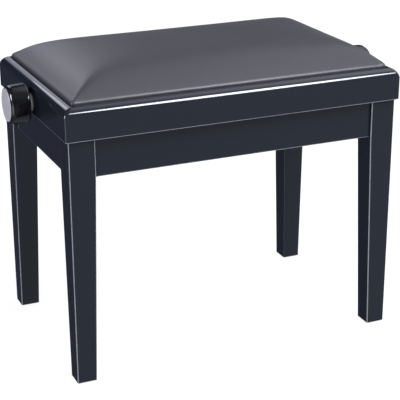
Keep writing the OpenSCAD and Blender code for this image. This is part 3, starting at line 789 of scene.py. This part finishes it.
def build_cushion():
    piece = to_object("cushion", cushion_shape())
    inflate(piece)
    crease_corners(piece)
    smooth = piece.modifiers.new("smooth", "SUBSURF")
    smooth.levels = 1
    smooth.render_levels = 1
    applied(piece)
    for face in piece.data.polygons:
        face.use_smooth = True
    place(piece, "leatherette", "cushion_cover", "cushion_foam")


build_cushion()

# ---------------------------------------------------------------- knobs and spindle

AXIS = Vector((0, 0, (SPINDLE[0].z + SPINDLE[1].z) / 2))
KNOB_R = (KNOB[1].z - KNOB[0].z) / 2
CAP_R = (CAP[1].z - CAP[0].z) / 2


def knob():
    """The right knob: a drum with rounded ends, a recess for its cap, a hollow ribbed back and a hub."""
    back, front = KNOB[0].x + 3.5 * MM, KNOB[1].x
    edge, rear_edge, draft = 7 * MM, 3.5 * MM, 1.1 * MM
    inner_r, hub_r, bore_r, lip_r = KNOB_R - 4 * MM, 11 * MM, 6.2 * MM, CAP_R + 0.25 * MM
    web, recess = front - 12 * MM, CAP[0].x - 0.3 * MM
    outline = arc((back + rear_edge, KNOB_R - rear_edge), rear_edge, 180, 90, 10)
    outline += arc((front - edge, KNOB_R - draft - edge), edge, 90, 20, 14)
    outline += [
        (CAP[1].x - 0.6 * MM, lip_r + 0.5 * MM), (CAP[1].x - 1.0 * MM, lip_r), (recess, lip_r),
        (recess, bore_r), (KNOB[0].x, bore_r), (KNOB[0].x, hub_r), (web, hub_r), (web, inner_r),
        (back + 2.5 * MM, inner_r), (back + 0.5 * MM, KNOB_R - rear_edge - 1 * MM),
    ]
    piece = to_object("knob", lathe(outline, AXIS, 128))
    ribs = []
    rib_count, rib_half, sunk = 6, 1 * MM, 1 * MM
    for k in range(rib_count):
        bm = box_bmesh(Vector((back + 4 * MM, -rib_half, hub_r - sunk)),
                       Vector((web + sunk, rib_half, inner_r + 2 * sunk)))
        ease_edges(bm, 0.4 * MM, steps=2)
        rib = to_object("rib", bm)
        turn = Matrix.Rotation(2 * math.pi * k / rib_count, 4, "X")
        rib.data.transform(Matrix.Translation(AXIS) @ turn)
        ribs.append(rib)
    joined(piece, ribs)
    split_corners(piece)
    return piece


def joined(piece, others):
    """Adds other objects' meshes to a piece."""
    bm = bmesh.new()
    for source in [piece] + others:
        bm.from_mesh(source.data)
    bm.to_mesh(piece.data)
    bm.free()
    for other in others:
        bpy.data.objects.remove(other)


def cap():
    """The right knob's cap: a faintly domed disc with a rounded edge."""
    face, back, edge, dome = CAP[1].x, CAP[0].x, 0.7 * MM, 0.35 * MM
    outline = [(back, 0.0), (back, CAP_R)] + arc((face - dome - edge, CAP_R - edge), edge, 90, 0, 5)
    steps = 12
    for k in range(1, steps + 1):
        r = (CAP_R - edge) * (1 - k / steps)
        outline.append((face - dome * (r / CAP_R) ** 2, r))
    return to_object("cap", lathe(outline, AXIS, 128))


def build_knobs():
    for side, x in SIDES:
        piece = mirrored(knob(), x)
        piece.name = f"knob_{side}_moulding"
        place(piece, "knob_plastic", f"knob_{side}")
        disc = mirrored(cap(), x)
        disc.name = f"knob_{side}_disc"
        place(disc, "cap_silver", f"knob_cap_{side}")
        split_corners(disc)


def build_spindle():
    """A plain rod with a real helical thread where the nut runs, and turned-down stubs for the knob nuts."""
    pitch, crest = 3 * MM, 6 * MM
    root = crest - 0.3 * pitch
    stub_r, stub_l, tip_bevel, neck_bevel = 4 * MM, 12.5 * MM, 0.5 * MM, 0.4 * MM
    neck = SPINDLE[1].x - stub_l
    nut_run, nut_l = 41 * MM, NUT[1].x - NUT[0].x
    start, end = NUT[0].x - nut_run, NUT[1].x + nut_l / 2
    steps, per_turn = 48, 12
    crest_share, flank_share = 0.3, 0.35
    count = math.ceil((end - start) / pitch * per_turn)
    stations = [start + (end - start) * k / count for k in range(count + 1)]

    def radius(x, turn):
        phase = ((x - start) / pitch - turn) % 1.0
        flank = min(phase, 1 - phase) * 2
        depth = min(max((flank - crest_share) / flank_share, 0), 1)
        blend = min(1, (x - start) / pitch, (end - x) / pitch)
        return crest - (crest - root) * depth * max(blend, 0)

    tip = SPINDLE[0].x
    plain = [(tip, 0.2 * MM), (tip, stub_r - tip_bevel), (tip + tip_bevel, stub_r),
             (-neck, stub_r), (-neck, crest - neck_bevel), (-neck + neck_bevel, crest)]
    rings = []

    def ring(x, radii):
        rings.append([(x, r * math.cos(a), AXIS.z + r * math.sin(a)) for r, a in radii])

    angles = [2 * math.pi * k / steps for k in range(steps)]
    for x, r in plain:
        ring(x, [(r, a) for a in angles])
    for x in stations:
        ring(x, [(radius(x, a / (2 * math.pi)), a) for a in angles])
    for x, r in reversed(plain):
        ring(-x, [(r, a) for a in angles])
    piece = to_object("spindle_rod", loft(rings))
    split_corners(piece, 60)
    place(piece, "zinc_steel", "spindle")


build_knobs()
build_spindle()

# ---------------------------------------------------------------- CAD nodes that stay

CRISP = math.radians(35)
EASE_OF = {
    "black_steel": 0.5 * MM, "bare_wood": 0.8 * MM, "zinc_steel": 0.25 * MM, "plywood": 0.5 * MM,
    "nylon": 0.3 * MM, "brass": 0.6 * MM, "glide_plastic": 0.4 * MM, "spring_steel": 0.12 * MM,
    "dowel_wood": 0.3 * MM,
}


def cleaning_nodes():
    """Geometry nodes that weld a CAD mesh and drop its stored normals."""
    tree = bpy.data.node_groups.new("clean_cad", "GeometryNodeTree")
    tree.interface.new_socket("Geometry", in_out="INPUT", socket_type="NodeSocketGeometry")
    tree.interface.new_socket("Geometry", in_out="OUTPUT", socket_type="NodeSocketGeometry")
    source = tree.nodes.new("NodeGroupInput")
    drop = tree.nodes.new("GeometryNodeRemoveAttribute")
    drop.inputs["Name"].default_value = "custom_normal"
    weld = tree.nodes.new("GeometryNodeMergeByDistance")
    weld.inputs["Distance"].default_value = 0.005 * MM
    smooth = tree.nodes.new("GeometryNodeSetShadeSmooth")
    result = tree.nodes.new("NodeGroupOutput")
    chain = [source, drop, weld, smooth, result]
    for a, b in zip(chain, chain[1:]):
        tree.links.new(a.outputs[0], b.inputs[0])
    return tree


def sharpening_nodes():
    """Geometry nodes that shade a mesh smooth except at crisp edges."""
    tree = bpy.data.node_groups.new("crisp_edges", "GeometryNodeTree")
    tree.interface.new_socket("Geometry", in_out="INPUT", socket_type="NodeSocketGeometry")
    tree.interface.new_socket("Geometry", in_out="OUTPUT", socket_type="NodeSocketGeometry")
    source = tree.nodes.new("NodeGroupInput")
    angle = tree.nodes.new("GeometryNodeInputMeshEdgeAngle")
    gentle = tree.nodes.new("FunctionNodeCompare")
    gentle.operation = "LESS_EQUAL"
    gentle.inputs["B"].default_value = CRISP
    tree.links.new(angle.outputs["Unsigned Angle"], gentle.inputs["A"])
    smooth = tree.nodes.new("GeometryNodeSetShadeSmooth")
    smooth.domain = "EDGE"
    tree.links.new(gentle.outputs["Result"], smooth.inputs["Shade Smooth"])
    result = tree.nodes.new("NodeGroupOutput")
    tree.links.new(source.outputs[0], smooth.inputs[0])
    tree.links.new(smooth.outputs[0], result.inputs[0])
    return tree


CLEAN = cleaning_nodes()
SHARPEN = sharpening_nodes()


def finish_cad(node, piece):
    """Gives a CAD node its material and eases its edges without touching its mesh."""
    slot = SLOT_OF[node]
    piece.data.materials.clear()
    piece.data.materials.append(MATERIALS[slot])
    clean = piece.modifiers.new("clean", "NODES")
    clean.node_group = CLEAN
    flats = piece.modifiers.new("flats", "DECIMATE")
    flats.decimate_type = "DISSOLVE"
    flats.angle_limit = math.radians(0.5)
    ease = piece.modifiers.new("ease", "BEVEL")
    ease.width = EASE_OF[slot]
    ease.segments = 2
    ease.limit_method = "ANGLE"
    ease.angle_limit = CRISP
    ease.use_clamp_overlap = True
    crisp = piece.modifiers.new("crisp", "NODES")
    crisp.node_group = SHARPEN
    keep_flats_flat(piece)


for name, cad_node in NODES.items():
    if not cad_node.hide_render:
        finish_cad(name, cad_node)

# ---------------------------------------------------------------- room and light


def direction(azimuth, elevation):
    """A unit vector; azimuth 0 is the rear, +Y, and 90 is the right, +X."""
    a, e = math.radians(azimuth), math.radians(elevation)
    return Vector((math.sin(a) * math.cos(e), math.cos(a) * math.cos(e), math.sin(e)))


class Sky(Tree):
    """The room as the bench sees it: a dim studio with pale walls and cards. The camera sees plain white."""

    def __init__(self):
        world = bpy.data.worlds.new("studio")
        bpy.context.scene.world = world
        world.use_nodes = True
        self.nodes = world.node_tree.nodes
        self.links = world.node_tree.links
        self.ray = self.node("ShaderNodeTexCoord").outputs["Generated"]

    def along(self, axis):
        """How far a ray goes along an axis: 1 straight along it, 0 square to it."""
        inputs = {0: self.ray, 1: tuple(axis)}
        return self.node("ShaderNodeVectorMath", inputs, operation="DOT_PRODUCT").outputs["Value"]

    def box(self, azimuth, elevation, half_width, half_height, strength, soft=0.2):
        """A rectangular panel seen in a direction. Its half sizes are tangents; soft is its edge's share."""
        axis = direction(azimuth, elevation)
        side = axis.cross(Vector((0, 0, 1))).normalized()
        up = side.cross(axis)
        ahead = self.math("MAXIMUM", self.along(axis), 0.001)
        across = self.math("ABSOLUTE", self.math("DIVIDE", self.along(side), ahead))
        rise = self.math("ABSOLUTE", self.math("DIVIDE", self.along(up), ahead))
        mask = self.math("MULTIPLY",
                         self.range(across, half_width + soft * half_width, half_width - soft * half_width),
                         self.range(rise, half_height + soft * half_height, half_height - soft * half_height))
        return self.math("MULTIPLY", mask, strength)

    def glow(self, azimuth, elevation, spread, strength):
        """A round glow that fades to nothing at spread degrees off its axis."""
        near = self.along(direction(azimuth, elevation))
        return self.range(near, math.cos(math.radians(spread)), 1.0, 0.0, strength)


def build_world():
    sky = Sky()
    total = 0.036
    parts = [
        sky.box(4, 22, 0.20, 0.24, 1.0, 0.3),        # panel behind the bench
        sky.glow(72, 46, 36, 1.5),                    # pale ceiling at the right rear
        sky.glow(36, -14, 34, 0.15),                  # dim wall at the right rear
        sky.glow(150, -22, 55, 0.25),                 # bright floor in front
        sky.glow(0, -90, 50, 0.35),                   # floor right below
        sky.glow(-90, 5, 60, 0.6),                    # pale wall at the left
        sky.glow(-24, -24, 40, 0.033),                 # dim wall at the left rear
        sky.glow(-113, -20, 35, 2.2),                 # low card at the front left
        sky.glow(67, -15, 40, 0.9),                   # low card at the right
        sky.glow(150, 70, 50, 0.25),                  # ceiling
    ]
    for part in parts:
        total = sky.math("ADD", total, part)
    tint = sky.mix(sky.glow(-24, -24, 60, 1.6), rgb(0.93, 0.96, 1.0), rgb(0.62, 0.66, 1.0))
    path = sky.node("ShaderNodeLightPath")
    seen = sky.node("ShaderNodeBackground", {"Color": rgb(1, 1, 1), "Strength": 1.0})
    room = sky.node("ShaderNodeBackground", {"Color": tint, "Strength": total})
    mixed = sky.node("ShaderNodeMixShader", {0: path.outputs["Is Camera Ray"], 1: room.outputs[0],
                                             2: seen.outputs[0]})
    sky.links.new(mixed.outputs[0], sky.nodes["World Output"].inputs["Surface"])


def soft_box(name, azimuth, elevation, distance, width, height, power, lights_diffuse):
    """An oval light aimed at the seat frame's front. It shows in matt surfaces or in gloss, not in both."""
    data = bpy.data.lights.new(name, "AREA")
    data.shape = "ELLIPSE"
    data.size = width
    data.size_y = height
    data.energy = power
    data.color = (0.93, 0.94, 1.0)
    light = add_object(name, data)
    axis = direction(azimuth, elevation)
    light.location = Vector((0, -HALF_D, FRAME_TOP)) + axis * distance
    light.rotation_mode = "QUATERNION"
    light.rotation_quaternion = axis.to_track_quat("Z", "Y")
    light.visible_camera = False
    light.visible_diffuse = lights_diffuse
    light.visible_glossy = not lights_diffuse


def build_lights():
    soft_box("key_reflection", 146.6, 42, 2.55, 1.25, 0.96, 80, False)
    soft_box("rear_panel", -20.5, 30.6, 1.19, 0.45, 0.58, 1.15, False)
    soft_box("left_window", -77, 17.8, 1.5, 0.45, 0.60, 14, False)
    soft_box("overhead", 150, 62, 2.2, 1.8, 1.8, 80, True)


def build_floor():
    """A plain white floor with only a trace of shadow, out of sight of the glossy reflections."""
    half = 12.0
    edges = [[(-half, y, 0), (half, y, 0)] for y in (-half, half)]
    floor = to_object("floor", loft(edges, closed=False, caps=False))
    t = Tree("floor")
    mottle = t.noise(3, 3)
    floor.data.materials.append(t.set(
        Base_Color=t.mix(mottle, rgb(0.16, 0.16, 0.16), rgb(0.17, 0.17, 0.17)),
        Roughness=0.9,
        Specular_IOR_Level=0.0,
        Emission_Color=rgb(1, 1, 1),
        Emission_Strength=0.95,
    ))
    floor.visible_glossy = False


def build_camera():
    """The camera: turned round the bench, tilted down, a long lens, and a slight roll."""
    target = Vector((-3.8, -14.6, 210.4)) * MM
    distance = 2.112
    azimuth, elevation, roll = math.radians(-23.6), math.radians(20.8), math.radians(-0.24)
    data = bpy.data.cameras.new("camera")
    data.sensor_width = 36
    data.lens = 113.05
    data.shift_x = 0.0068
    data.shift_y = 0.0024
    data.clip_start = 0.05
    camera = bpy.data.objects.new("camera", data)
    bpy.context.scene.collection.objects.link(camera)
    back = Vector((math.sin(azimuth) * math.cos(elevation), -math.cos(azimuth) * math.cos(elevation),
                   math.sin(elevation)))
    right = Vector((math.cos(azimuth), math.sin(azimuth), 0))
    up = back.cross(right)
    side = right * math.cos(roll) + up * math.sin(roll)
    above = up * math.cos(roll) - right * math.sin(roll)
    turned = Matrix((side, above, back)).transposed()
    camera.matrix_world = Matrix.Translation(target + back * distance) @ turned.to_4x4()
    bpy.context.scene.camera = camera


build_world()
build_lights()
build_floor()
build_camera()
bpy.context.scene.view_settings.view_transform = "Standard"
